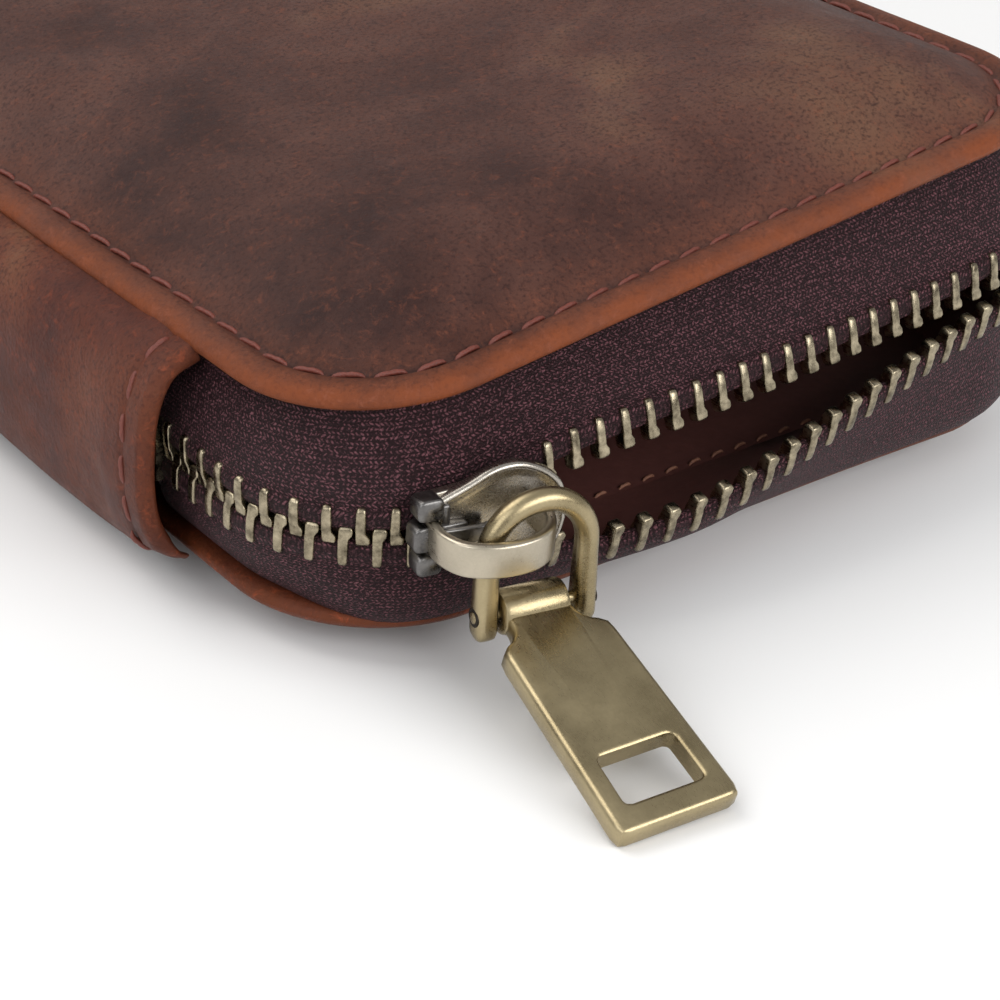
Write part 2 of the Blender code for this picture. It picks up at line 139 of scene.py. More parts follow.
def make_light():
    """A soft studio: a broad key behind and above, a box on the left and one in front."""
    aim = (-0.01, -0.06, 0.015)
    area_light("key", (-0.30, 0.30, 0.70), aim, (0.6, 0.6), 3.2, (1.0, 0.98, 0.95))
    area_light("left", (-0.60, -0.25, 0.40), aim, (0.5, 0.5), 1.6, (0.97, 0.98, 1.0))
    area_light("front", (0.15, -0.75, 0.40), aim, (0.7, 0.4), 4.2)
    world = bpy.data.worlds.new("studio")
    world.use_nodes = True
    world.node_tree.nodes["Background"].inputs["Color"].default_value = (1.0, 1.0, 1.0, 1.0)
    world.node_tree.nodes["Background"].inputs["Strength"].default_value = 0.50
    bpy.context.scene.world = world
    bpy.context.scene.view_settings.view_transform = "Standard"


def make_floor():
    bm = bmesh.new()
    bmesh.ops.create_grid(bm, x_segments=1, y_segments=1, size=3.0)
    mesh = bpy.data.meshes.new("floor")
    bm.to_mesh(mesh)
    bm.free()
    floor = add_object("floor", mesh)
    paint = bpy.data.materials.new("floor")
    paint.use_nodes = True
    shader = paint.node_tree.nodes["Principled BSDF"]
    shader.inputs["Base Color"].default_value = (0.86, 0.86, 0.86, 1.0)
    shader.inputs["Roughness"].default_value = 0.9
    mesh.materials.append(paint)


# ---- materials

# Patches on the top cover, in mm from its middle, that shift the leather's tone: painted sheen
# where paler, painted shade where darker.
SHEEN_PATCH_HEIGHT = 33.0
SHEEN_AND_SHADE_PATCHES = ((-26.0, -38.0, 18.0, -0.08), (34.0, -58.0, 20.0, 0.10),
          (-38.0, -20.0, 14.0, 0.08), (4.0, -70.0, 16.0, 0.15), (22.0, -82.0, 18.0, 0.36),
          (-38.0, -48.0, 18.0, -0.26), (-30.0, -88.0, 18.0, -0.20), (-6.0, -86.0, 12.0, -0.10),
          (24.0, 30.0, 40.0, 0.12), (-20.0, 60.0, 30.0, -0.08))
LEATHER_ROUGHNESS = (0.40, 0.58)
RIB_WIDE = 0.46          # mm, of the tape's ribs
YARN_WIDE = 0.40         # mm, of the threads that cross them


class Look:
    """A node material in the making, with its coordinates in millimetres of the object."""

    def __init__(self, name):
        self.material = bpy.data.materials.new(name)
        self.material.use_nodes = True
        self.tree = self.material.node_tree
        self.shader = self.tree.nodes["Principled BSDF"]
        coords = self.node("ShaderNodeTexCoord")
        self.place = self.node("ShaderNodeMapping", {"Vector": coords.outputs["Object"],
                                                     "Scale": (1 / MM,) * 3}).outputs[0]

    def node(self, kind, inputs=(), **settings):
        """Add a node, set its properties, then its sockets by name or number."""
        made = self.tree.nodes.new(kind)
        for key, value in settings.items():
            setattr(made, key, value)
        for key, value in dict(inputs).items():
            self.fill(made.inputs[key], value)
        return made

    def fill(self, socket, value):
        """Link a socket to another node's output, or set its value."""
        if hasattr(value, "is_output"):
            self.tree.links.new(value, socket)
        else:
            socket.default_value = value

    def finish(self, colour, roughness):
        self.fill(self.shader.inputs["Base Color"], colour)
        self.fill(self.shader.inputs["Roughness"], roughness)
        return self.material

    def noise(self, scale, detail, rough, distortion=0.0, vector=None):
        return self.node("ShaderNodeTexNoise",
                         {"Vector": vector or self.place, "Scale": scale, "Detail": detail,
                          "Roughness": rough, "Distortion": distortion}).outputs["Fac"]

    def ramp(self, value, stops):
        """A colour ramp through (position, colour) stops."""
        made = self.node("ShaderNodeValToRGB", {"Fac": value})
        elements = made.color_ramp.elements
        while len(elements) < len(stops):
            elements.new(0.5)
        for element, (place, colour) in zip(elements, stops):
            element.position = place
            element.color = (*colour, 1.0)
        return made.outputs["Color"]

    def span(self, value, low, high, start, end):
        """Map a value's range from start to end onto low to high, clamped."""
        return self.node("ShaderNodeMapRange", {"Value": value, "From Min": start,
                                                "From Max": end, "To Min": low,
                                                "To Max": high}).outputs[0]

    def mix(self, factor, first, second):
        """Blend two colours, each an output or an (r, g, b) tuple."""
        first, second = ((*c, 1.0) if isinstance(c, tuple) else c for c in (first, second))
        return self.node("ShaderNodeMix", {0: factor, 6: first, 7: second},
                         data_type="RGBA").outputs[2]

    def maths(self, operation, first, second=0.0, third=0.5):
        return self.node("ShaderNodeMath", {0: first, 1: second, 2: third},
                         operation=operation).outputs[0]

    def times(self, first, second):
        return self.maths("MULTIPLY", first, second)

    def plus(self, first, second):
        return self.maths("ADD", first, second)

    def bump(self, height, strength, distance, under=None):
        """Raise the surface by a height, over an earlier bump if one is given."""
        inputs = {"Height": height, "Strength": strength, "Distance": distance}
        if under:
            inputs["Normal"] = under
        normal = self.node("ShaderNodeBump", inputs).outputs[0]
        self.fill(self.shader.inputs["Normal"], normal)
        return normal


def leather_material(name, tones, edge_tone, painted_patches=()):
    """Waxed pull-up leather: cloudy tone, fine pores, and a paler rubbed edge.

    The patches, each (x, y, radius, change), are painted sheen where the change is above zero and
    painted shade where it is below.
    """
    look = Look(name)
    dark, middle, light, patch = tones
    cloud_tone_and_sheen = look.noise(0.045, 4.0, 0.55, 0.6)
    # Painted sheen and shade: each patch makes the tone paler or darker round a point on the top
    # cover.
    for x, y, radius, change in painted_patches:
        reach = look.node("ShaderNodeVectorMath", {0: look.place, 1: (x, y, SHEEN_PATCH_HEIGHT)},
                          operation="DISTANCE").outputs["Value"]
        cloud_tone_and_sheen = look.plus(cloud_tone_and_sheen, look.span(reach, change, 0.0, 0.0, radius))
    mottle = look.noise(0.22, 5.0, 0.6)
    pores = look.node("ShaderNodeTexVoronoi", {"Vector": look.place, "Scale": 1.9,
                                               "Randomness": 1.0}).outputs["Distance"]
    fine = look.noise(2.6, 6.0, 0.65)
    scuffs = look.noise(0.9, 12.0, 0.82, 0.5)
    worn = look.node("ShaderNodeAttribute", attribute_name="edge").outputs["Fac"]
    colour = look.ramp(cloud_tone_and_sheen, [(0.30, dark), (0.46, middle), (0.60, light), (0.72, patch)])
    colour = look.mix(look.span(mottle, 0.0, 0.42, 0.38, 0.75), colour, light)
    uneven = look.times(worn, look.span(mottle, 0.55, 1.2, 0.3, 0.7))
    rubbed = look.node("ShaderNodeClamp", {"Value": uneven}).outputs[0]
    colour = look.mix(rubbed, colour, edge_tone)
    kept = look.maths("SUBTRACT", 1.0, look.times(worn, 0.75))
    pepper = look.times(look.span(fine, 0.0, 0.72, 0.49, 0.64), kept)
    colour = look.mix(pepper, colour, dark)
    warm = tuple(min(c * k, 1.0) for c, k in zip(light, (2.4, 1.7, 1.15)))
    near_edge = look.maths("MULTIPLY_ADD", worn, 0.5, 0.35)
    flecks = look.times(look.span(scuffs, 0.0, 1.0, 0.53, 0.64), near_edge)
    look.shader.inputs["Specular IOR Level"].default_value = 0.20
    under = look.bump(look.maths("POWER", pores, 0.6), 0.14, 0.0002)
    under = look.bump(scuffs, 0.42, 0.0003, under)
    look.bump(fine, 0.45, 0.0002, under)
    return look.finish(look.mix(flecks, colour, warm),
                       look.span(mottle, *LEATHER_ROUGHNESS, 0.3, 0.7))


def thread_material(name, colour):
    """Waxed two-ply thread."""
    look = Look(name)
    strands = look.noise(5.0, 3.0, 0.6)
    look.bump(strands, 0.5, 0.0002)
    return look.finish(look.mix(strands, tuple(c * 0.45 for c in colour),
                                tuple(c * 1.35 for c in colour)), 0.5)


def tape_material(name, dark, light):
    """Twill tape: ribs along it, each crossed by slanted threads that turn about."""
    look = Look(name)
    uv = look.node("ShaderNodeUVMap", uv_map="weave").outputs[0]
    along, across = look.node("ShaderNodeSeparateXYZ", {0: uv}).outputs[:2]
    drift = look.times(look.noise(1.7, 4.0, 0.65), 1.5)
    rib = look.plus(look.times(across, 1 / RIB_WIDE), drift)
    side = look.maths("PINGPONG", rib, 1.0)
    slant = look.plus(look.times(along, 1 / YARN_WIDE), look.plus(look.times(side, 0.9), drift))
    yarn, valley = (look.maths("ABSOLUTE", look.maths("SINE", look.times(phase, pi)))
                    for phase in (slant, rib))
    weave = look.times(look.maths("POWER", yarn, 0.7), look.maths("POWER", valley, 0.5))
    fleck = look.noise(3.2, 4.0, 0.7)
    height = look.times(weave, look.span(fleck, 0.25, 1.5, 0.32, 0.68))
    glint = look.span(look.times(height, fleck), 0.0, 1.0, 0.22, 0.66)
    look.shader.inputs["Specular IOR Level"].default_value = 0.25
    look.bump(height, 1.0, 0.00026)
    return look.finish(look.mix(glint, dark, light), look.span(fleck, 0.35, 0.75, 0.3, 0.7))


def metal_material(name, dark, light, rough, grain=0.16):
    """Antique plating: a cloudy tone between dark and bright, with fine brush lines."""
    look = Look(name)
    cloud = look.noise(grain, 4.0, 0.55)
    fine = look.noise(4.0, 5.0, 0.7)
    brushed = look.node("ShaderNodeMapping", {"Vector": look.place, "Scale": (7.0, 0.35, 7.0)})
    lines = look.noise(1.0, 3.0, 0.6, vector=brushed.outputs[0])
    tone = look.plus(look.times(cloud, 0.8), look.times(fine, 0.2))
    gloss = look.plus(look.times(lines, 0.5), look.times(cloud, 0.5))
    look.shader.inputs["Metallic"].default_value = 1.0
    under = look.bump(lines, 0.024, 0.0001)
    look.bump(fine, 0.12, 0.0001, under)
    return look.finish(look.mix(look.span(tone, 0.0, 1.0, 0.25, 0.75), dark, light),
                       look.span(gloss, rough - 0.07, rough + 0.14, 0.35, 0.65))


def plain_material(name, dark, light, roughness):
    """A matt stuff with a little grain, for linings and hidden pieces."""
    look = Look(name)
    grain = look.noise(1.2, 5.0, 0.6)
    look.bump(grain, 0.3, 0.0002)
    return look.finish(look.mix(grain, dark, light), roughness)


def make_materials():
    leather = ((0.024, 0.0075, 0.006), (0.060, 0.023, 0.017), (0.092, 0.038, 0.027),
               (0.135, 0.064, 0.038))
    spine = ((0.036, 0.008, 0.005), (0.072, 0.017, 0.010), (0.118, 0.034, 0.017),
             (0.165, 0.068, 0.034))
    looks = {
        # The top cover's leather carries the painted sheen and shade patches.
        "leather": (leather_material, leather, (0.190, 0.047, 0.014), SHEEN_AND_SHADE_PATCHES),
        "spine_leather": (leather_material, spine, (0.120, 0.030, 0.010)),
        "thread": (thread_material, (0.165, 0.036, 0.022)),
        "lining_thread": (thread_material, (0.30, 0.13, 0.08)),
        "tape": (tape_material, (0.017, 0.004, 0.006), (0.250, 0.098, 0.118)),
        "teeth": (metal_material, (0.030, 0.022, 0.013), (0.56, 0.48, 0.335), 0.24, 1.1),
        "slider": (metal_material, (0.31, 0.285, 0.25), (0.60, 0.555, 0.49), 0.25),
        "strap": (metal_material, (0.33, 0.293, 0.23), (0.60, 0.535, 0.42), 0.30),
        "slider_nose": (metal_material, (0.075, 0.072, 0.072), (0.25, 0.24, 0.23), 0.30, 0.5),
        "pull": (metal_material, (0.235, 0.187, 0.105), (0.49, 0.405, 0.245), 0.28),
        # Near-black: painted shade round the pin where it goes through the wire.
        "pin_ring": (metal_material, (0.02, 0.016, 0.012), (0.06, 0.05, 0.04), 0.5),
        "lining": (plain_material, (0.064, 0.020, 0.017), (0.130, 0.044, 0.036), 0.55),
        "board": (plain_material, (0.25, 0.22, 0.18), (0.35, 0.32, 0.27), 0.9),
    }
    return {name: make(name, *values) for name, (make, *values) in looks.items()}


# ---- mesh helpers

def finish_mesh(name, bm, stuff, crease):
    """Turn a bmesh in millimetres into an object, smooth but for its sharp edges."""
    bmesh.ops.recalc_face_normals(bm, faces=bm.faces)
    bmesh.ops.scale(bm, vec=(MM, MM, MM), verts=bm.verts)
    limit = radians(crease)
    for edge in bm.edges:
        edge.smooth = len(edge.link_faces) != 2 or edge.calc_face_angle(0.0) < limit
    for face in bm.faces:
        face.smooth = True
    mesh = bpy.data.meshes.new(name)
    bm.to_mesh(mesh)
    bm.free()
    mesh.materials.append(stuff)
    return add_object(name, mesh)


def loft(sections, joined=False, bm=None, weave=None, weight=None):
    """Skin closed sections of equal count into bm, with capped ends or joined in a ring.

    weave gives (along, across) texture distances, and weight an edge value, for each point.
    """
    bm = bm or bmesh.new()
    if weave:
        layer = bm.loops.layers.uv.new("weave")
    if weight:
        value = bm.verts.layers.float.new("edge")
    rows = [[bm.verts.new(point) for point in section] for section in sections]
    count = len(rows[0])
    if weight:
        for i, row in enumerate(rows):
            for j, vert in enumerate(row):
                vert[value] = weight(i, j)
    order = list(range(len(rows))) + ([0] if joined else [])
    for i, k in zip(order, order[1:]):
        for j in range(count):
            m = (j + 1) % count
            face = bm.faces.new((rows[i][j], rows[i][m], rows[k][m], rows[k][j]))
            if weave:
                for corner, (a, b) in zip(face.loops, ((i, j), (i, m), (k, m), (k, j))):
                    corner[layer].uv = weave(a, b)
    if not joined:
        bm.faces.new(rows[0])
        bm.faces.new(rows[-1])
    return bm


def smooth_curve(points, steps):
    """A Catmull-Rom curve through points, steps pieces to each span."""
    points = [Vector(p) for p in points]
    padded = [points[0] * 2 - points[1]] + points + [points[-1] * 2 - points[-2]]
    curve = []
    for a, b, c, d in zip(padded, padded[1:], padded[2:], padded[3:]):
        for step in range(steps):
            t = step / steps
            curve.append(0.5 * (2 * b + (c - a) * t + (2 * a - 5 * b + 4 * c - d) * t * t
                                + (3 * b - a - 3 * c + d) * t ** 3))
    return curve + [points[-1]]


def ahead_at(path, index):
    """Direction of an open path at one of its points."""
    return (path[min(index + 1, len(path) - 1)] - path[max(index - 1, 0)]).normalized()


def run_lengths(points):
    """Distance along a path to each of its points."""
    lengths = [0.0]
    for first, second in zip(points, points[1:]):
        lengths.append(lengths[-1] + (second - first).length)
    return lengths


def offset_curve(curve, distance):
    """A plane curve moved to its left by a distance, or by one distance for each point."""
    moved = []
    for index, point in enumerate(curve):
        along = ahead_at(curve, index)
        reach = distance[index] if isinstance(distance, list) else distance
        moved.append(point + Vector((-along.y, along.x)) * reach)
    return moved


def four_arcs(half_wide, half_deep, radius, steps):
    """The rounded corners of a rectangle centred on zero, anticlockwise."""
    arcs = []
    for quarter, (sx, sy) in enumerate(((1, 1), (-1, 1), (-1, -1), (1, -1))):
        turns = [(quarter + step / steps) * pi / 2 for step in range(steps + 1)]
        arcs.append([(sx * (half_wide - radius) + radius * cos(turn),
                      sy * (half_deep - radius) + radius * sin(turn)) for turn in turns])
    return arcs


def skins(curve, left, right):
    """A closed section between two offsets of a plane curve."""
    return offset_curve(curve, left) + offset_curve(curve, right)[::-1]


def rounded_box(wide, deep, radius, steps=3):
    """Points round a rectangle with rounded corners, centred on zero."""
    radius = min(radius, wide / 2 * 0.98, deep / 2 * 0.98)
    return [point for arc in four_arcs(wide / 2, deep / 2, radius, steps) for point in arc]


def settle(piece, body, slot_name, *nodes):
    """Give a piece its body, if one is given, and hide the CAD nodes it stands for; slot_name is
    not used.
    """
    if body:
        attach(piece, body)
    if nodes:
        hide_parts(*nodes)
    return piece


# ---- covers

STRAIGHT_STEP = 2.6      # mm between the points of a cover's straight sides
CORNER_STEPS = 20        # pieces to a corner
STITCH_SLANT = radians(8.0)


def outline(inset):
    """Points round a cover's plan, inset from its edge, with the straights divided up."""
    half_wide = WIDTH / 2 - inset
    half_long = LENGTH / 2 - inset
    radius = min(max(CORNER - inset, 6.0), half_wide - 0.2)
    corners = [[Vector(point) for point in arc]
               for arc in four_arcs(half_wide, half_long, radius, CORNER_STEPS)]
    points = []
    for index, arc in enumerate(corners):
        points += arc
        after = corners[(index + 1) % 4][0]
        run = WIDTH if index % 2 == 0 else LENGTH
        pieces = int((run - 2 * CORNER) / STRAIGHT_STEP)
        points += [arc[-1].lerp(after, piece / pieces) for piece in range(1, pieces)]
    return points


def cover_profile(dome):
    """(inset, height, edge tone) from the middle of a cover's outside to its inside."""
    top = RIM_THICK
    crown = top + dome
    rows = [(WIDTH / 2 - off, crown, 0.0) for off in (0.6, 3.0, 7.0, 11.0, 15.0, 19.0)]
    rows += [(18.5, top + dome * 0.985, 0.0), (16.0, top + dome * 0.95, 0.0),
             (13.5, top + dome * 0.875, 0.0), (11.5, top + dome * 0.78, 0.0),
             (9.7, top + dome * 0.655, 0.0), (8.2, top + dome * 0.52, 0.0),
             (6.9, top + dome * 0.385, 0.0), (5.8, top + dome * 0.26, 0.05),
             (4.9, top + dome * 0.155, 0.1), (4.2, top + dome * 0.075, 0.15),
             (3.75, top + 0.08, 0.2), (3.4, top - 0.20, 0.1), (3.0, top - 0.42, 0.0),
             (2.6, top - 0.22, 0.2), (2.25, top + 0.03, 0.3), (1.8, top + 0.07, 0.4),
             (1.3, top, 0.55), (0.85, top - 0.16, 0.75), (0.45, top - 0.42, 0.95),
             (0.15, top - 0.76, 1.0), (0.0, top - 1.1, 1.0), (0.08, top - 1.45, 1.0),
             (0.35, top - 1.75, 0.9), (0.9, top - 1.95, 0.7), (1.6, 0.0, 0.4),
             (4.6, 0.0, 0.0), (6.4, dome * 0.2, 0.0), (9.4, dome * 0.52 + 0.3, 0.0),
             (14.2, crown - 2.0, 0.0), (30.0, crown - 1.6, 0.0),
             (WIDTH / 2 - 0.6, crown - 1.6, 0.0)]
    return rows


def sway(x, y, seed, size):
    """A slow, gentle unevenness of hand-made leather."""
    return size * noise.noise(Vector((x / 26.0, y / 26.0, seed)))


def cover_mesh(name, dome, plane, facing, seed, stuff):
    """One leather cover. facing is 1 for the top cover and -1 for the bottom one."""
    profile = cover_profile(dome)
    sections = []
    for inset, height, _ in profile:
        ring = []
        for x, y in outline(inset):
            free = min(max((inset - 4.0) / 10.0, 0.0), 1.0)
            lift = sway(x, y, seed, 0.55) * free * (1 if facing > 0 else 0)
            edge = sway(x, y, seed + 5, 0.25) * (1.0 - free)
            ring.append((x, y, plane + facing * (height + lift + edge * min(height, 1.0))))
        sections.append(ring)
    bm = loft(sections, weight=lambda i, j: profile[i][2])
    return finish_mesh(name, bm, stuff, 60.0)


def top_place():
    """The top cover's own plane: its rim's inner face, tilted up from the spine edge."""
    edge = Matrix.Translation(Vector((-WIDTH / 2, 0.0, SPINE_RISE)) * MM)
    back = Matrix.Translation(Vector((WIDTH / 2, 0.0, 0.0)) * MM)
    return edge @ Matrix.Rotation(-GAPE, 4, "Y") @ back


def stitches(name, route, stuff, pitch=3.3, length=3.0, thick=0.46):
    """Single stitches along a route of (point, outward normal), each dipping at its ends."""
    lengths = run_lengths([point for point, _ in route])
    bm = bmesh.new()
    count = int(lengths[-1] / pitch)
    step = lengths[-1] / count
    index = 0
    for number in range(count):
        centre = (number + 0.5) * step
        while lengths[index + 1] < centre:
            index += 1
        share = (centre - lengths[index]) / (lengths[index + 1] - lengths[index])
        (a, normal_a), (b, normal_b) = route[index], route[index + 1]
        point, normal = a.lerp(b, share), normal_a.lerp(normal_b, share).normalized()
        along = (b - a).normalized()
        along = Matrix.Rotation(STITCH_SLANT, 3, normal) @ along
        across = normal.cross(along)
        sections = []
        for ring in range(9):
            t = ring / 8 * 2 - 1
            size = thick / 2 * sqrt(max(1 - t ** 6, 0.04)) * (1 + 0.10 * cos(ring * 2.4))
            place = point + along * (t * length / 2) - normal * (0.42 * t ** 4)
            sections.append([place + across * size * cos(turn) + normal * size * sin(turn)
                             for turn in (k * pi / 4 for k in range(8))])
        loft(sections, bm=bm)
    return finish_mesh(name, bm, stuff, 80.0)


def ring_route(inset, plane, facing):
    """A stitching route round a cover, in its own plane."""
    loop = [(Vector((x, y, plane)), UP * facing) for x, y in outline(inset)]
    return loop + loop[:1]


def make_covers(paint):
    """Both padded covers and the stitching round them. The top one is made flat, then tilted."""
    plane = RIM_LIFT + RIM_THICK
    bottom = cover_mesh("bottom_leather", RIM_LIFT, plane, -1, 3.0, paint["spine_leather"])
    settle(bottom, "bottom_half", "leather", "bottom_cover")
    thread = stitches("bottom_stitches", ring_route(STITCH_INSET, RIM_LIFT + 0.18, -1),
                      paint["thread"])
    settle(thread, "bottom_half", "thread", "bottom_cover_thread")
    top = cover_mesh("top_leather", TOP_DOME, 0.0, 1, 1.0, paint["leather"])
    top.data.transform(top_place())
    settle(top, "top_half", "leather", "top_cover")
    thread = stitches("top_stitches", ring_route(STITCH_INSET, RIM_THICK - 0.20, 1),
                      paint["thread"])
    thread.data.transform(top_place())
    settle(thread, "top_half", "thread", "top_cover_thread")


# ---- spine

SPINE_CURVE = [(-0.5, 1.5), (-1.5, 2.3), (-2.7, 4.4), (-3.7, 7.8), (-4.2, 12.2),
               (-4.0, 16.4), (-3.2, 19.4), (-1.9, 21.4), (0.4, 22.3)]
STRIP_END = 19.3         # the strip's visible end, from the front edge
STRIP_THICK = 1.2
HEM_THICK = 1.75
HEM = 6.0


def hem_swell(from_end):
    """Thickness of the spine strip at a distance from its end: folded double, rounded."""
    if from_end < 0.8:
        return HEM_THICK * sqrt(max(1 - (1 - from_end / 0.8) ** 2, 0.03))
    if from_end < HEM:
        return HEM_THICK
    return STRIP_THICK + (HEM_THICK - STRIP_THICK) * max(1 - (from_end - HEM) / 2.5, 0.0)


def tucked(curve, from_end):
    """The spine's curve, its lower edge drawn up and in towards the strip's end."""
    near = max(0.0, 1.0 - from_end / 12.0) ** 2
    moved = []
    for p in curve:
        low = max(0.0, 1.0 - (p.y - 1.5) / 9.0)
        moved.append(p + Vector((-0.3, 2.5)) * near * low)
    return moved


def spine_stations():
    """Places along the strip, close together at its hems, and the strip's whole length."""
    near = [0.0, 0.08, 0.2, 0.4, 0.7, 1.0, 1.6, 2.3, 2.7, 3.0, 3.3, 3.7, 4.4, 5.2, 6.0, 6.5,
            7.0, 7.6]
    span = LENGTH - 2 * STRIP_END
    far = [span - place for place in near[::-1]]
    middle = [7.6 + 2.6 * k for k in range(1, int((span - 15.2) / 2.6))]
    return near + middle + far, span


def make_spine(paint):
    """The strip round the spine, thicker over its folded hems."""
    whole_curve = smooth_curve(SPINE_CURVE, 5)
    ends = [min(1.0, 0.3 + abs(p.y - 1.6) / 4.0) for p in whole_curve]
    stations, span = spine_stations()
    sections = []
    tone = []
    for place in stations:
        from_end = min(place, span - place)
        thick = hem_swell(from_end)
        curve = tucked(whole_curve, from_end)
        dent = 0.22 * exp(-((from_end - STITCH_INSET) / 0.35) ** 2)
        y = STRIP_END + place - LENGTH / 2
        bulge = [0.35 * noise.noise(Vector((y / 18.0, p.y / 8.0, 9.0))) for p in curve]
        ring = skins(curve, [(thick * 0.65 - dent) * e + b for e, b in zip(ends, bulge)],
                     [-thick * 0.35 * e + b for e, b in zip(ends, bulge)])
        sections.append([(p.x - WIDTH / 2, y, p.y) for p in ring])
        tone.append(max(0.0, 1.0 - from_end / 1.4))
    bm = loft(sections, weight=lambda i, j: tone[i] * 0.6)
    strip = finish_mesh("spine_leather_strip", bm, paint["spine_leather"], 60.0)
    settle(strip, None, "leather", "spine_strip")
    blend_over_hinge(strip)
    make_spine_thread(whole_curve, ends, paint)


def make_spine_thread(whole_curve, ends, paint):
    """A line of stitches through the folded hem at each end of the strip."""
    for end, node_name in ((STRIP_END + STITCH_INSET, "spine_thread_front"),
                           (LENGTH - STRIP_END - STITCH_INSET, "spine_thread_back")):
        curve = tucked(whole_curve, STITCH_INSET)
        surface = offset_curve(curve, [HEM_THICK * 0.65 * e - 0.12 for e in ends])
        normals = [(b - a).normalized() for a, b in zip(curve, surface)]
        route = [(Vector((p.x - WIDTH / 2, end - LENGTH / 2, p.y)), Vector((n.x, 0.0, n.y)))
                 for p, n in zip(surface, normals)]
        thread = stitches(node_name + "_stitches", route[6:], paint["thread"], thick=0.5)
        settle(thread, None, "thread", node_name)
        blend_over_hinge(thread)


def blend_over_hinge(piece):
    """Bake a spine piece's transform into its mesh; it rides neither half."""
    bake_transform(piece)


# ---- zip

STUB = HIDDEN_ZIP - CORNER
ARC = CORNER * pi / 2
FRONT_RUN = WIDTH - 2 * CORNER
SIDE_RUN = LENGTH - 2 * CORNER
PATH_LENGTH = 2 * STUB + 4 * ARC + 2 * FRONT_RUN + SIDE_RUN
OPEN_CORNER = STUB + 2 * ARC + FRONT_RUN
BACK_CORNER = OPEN_CORNER + SIDE_RUN
FAR_SPINE = BACK_CORNER + 2 * ARC + FRONT_RUN

# (distance along the zip, hook height, distance out from the covers' edge, lean in degrees)
UPPER_ROW = [(0, 12.1, 0.5, 0), (30, 12.1, 0.5, 0), (35, 14.0, 1.2, 8), (39, 15.6, 2.0, 16),
             (53, 16.8, 2.8, 22), (71, 18.1, 2.8, 22), (84, 19.2, 2.6, 18), (94, 20.4, 2.0, 12),
             (OPEN_CORNER, 21.0, 1.5, 8), (BACK_CORNER, 20.0, 1.5, 8),
             (FAR_SPINE - ARC, 15.5, 1.0, 4), (PATH_LENGTH, 13.6, 0.5, 0)]
LOWER_ROW = [(0, 13.3, 0.5, 0), (30, 13.3, 0.5, 0), (35, 11.4, 1.2, 6), (39, 10.3, 2.0, 14),
             (45, 10.2, 3.8, 14), (53, 11.4, 5.3, 13), (60, 13.1, 5.4, 12), (69, 15.3, 4.8, 12),
             (84, 18.4, 3.4, 11), (94, 19.7, 2.2, 10), (OPEN_CORNER, 20.2, 1.5, 8),
             (BACK_CORNER, 19.2, 1.5, 8), (FAR_SPINE - ARC, 14.6, 1.0, 4),
             (PATH_LENGTH, 12.6, 0.5, 0)]


def path_point(along):
    """Point of the covers' edge, and its outward direction, at a distance along the zip."""
    x, y = -WIDTH / 2, -LENGTH / 2 + HIDDEN_ZIP
    heading = -pi / 2
    left = along
    for run, turning in ((STUB, False), (ARC, True), (FRONT_RUN, False), (ARC, True),
                         (SIDE_RUN, False), (ARC, True), (FRONT_RUN, False), (ARC, True),
                         (STUB + 5.0, False)):
        part = min(left, run)
        if turning:
            turn = part / CORNER
            x += CORNER * (sin(heading + turn) - sin(heading))
            y -= CORNER * (cos(heading + turn) - cos(heading))
            heading += turn
        else:
            x += part * cos(heading)
            y += part * sin(heading)
        left -= part
        if left <= 0:
            break
    return Vector((x, y)), Vector((sin(heading), -cos(heading)))


def smooth_row(row, along):
    """Height, outward distance and lean of a row, eased through its listed points."""
    slopes = []
    for index in range(len(row)):
        before, after = row[max(index - 1, 0)], row[min(index + 1, len(row) - 1)]
        slopes.append([(after[k] - before[k]) / (after[0] - before[0]) for k in (1, 2, 3)])
    index = max(i for i in range(len(row) - 1) if row[i][0] <= max(along, 0.0))
    start, end = row[index], row[index + 1]
    span = end[0] - start[0]
    t = min(max((along - start[0]) / span, 0.0), 1.0)
    return [(2 * t ** 3 - 3 * t ** 2 + 1) * start[k + 1]
            + (t ** 3 - 2 * t ** 2 + t) * span * slopes[index][k]
            + (3 * t ** 2 - 2 * t ** 3) * end[k + 1]
            + (t ** 3 - t ** 2) * span * slopes[index + 1][k] for k in (0, 1, 2)]


def row_frame(along, row, up):
    """Axes of a tooth: its hook's point, then along the zip, outward and towards the tape."""
    height, out, lean = smooth_row(row, along)
    edge, outward = path_point(along)
    outward = Vector((*outward, 0.0))
    tip = Vector((*edge, 0.0)) + outward * out + UP * height
    tilt = radians(lean)
    to_tape = UP * up * cos(tilt) - outward * sin(tilt)
    forward = UP.cross(outward)
    face = forward.cross(to_tape) * (1 if up > 0 else -1)
    return tip, forward, face.normalized() * (1 if face.dot(outward) > 0 else -1), to_tape


# (depth from the hook, along low, along high, half thickness) down one tooth.
TOOTH = [(0.00, -0.26, 0.50, 0.36), (0.10, -0.38, 0.62, 0.52), (0.30, -0.44, 0.74, 0.60),
         (0.72, -0.46, 0.72, 0.62), (0.92, -0.46, 0.56, 0.64), (1.12, -0.46, 0.42, 0.68),
         (1.35, -0.46, 0.40, 0.76), (2.40, -0.45, 0.39, 0.82), (3.10, -0.42, 0.36, 0.80),
         (3.36, -0.38, 0.32, 0.72), (3.50, -0.26, 0.20, 0.52)]


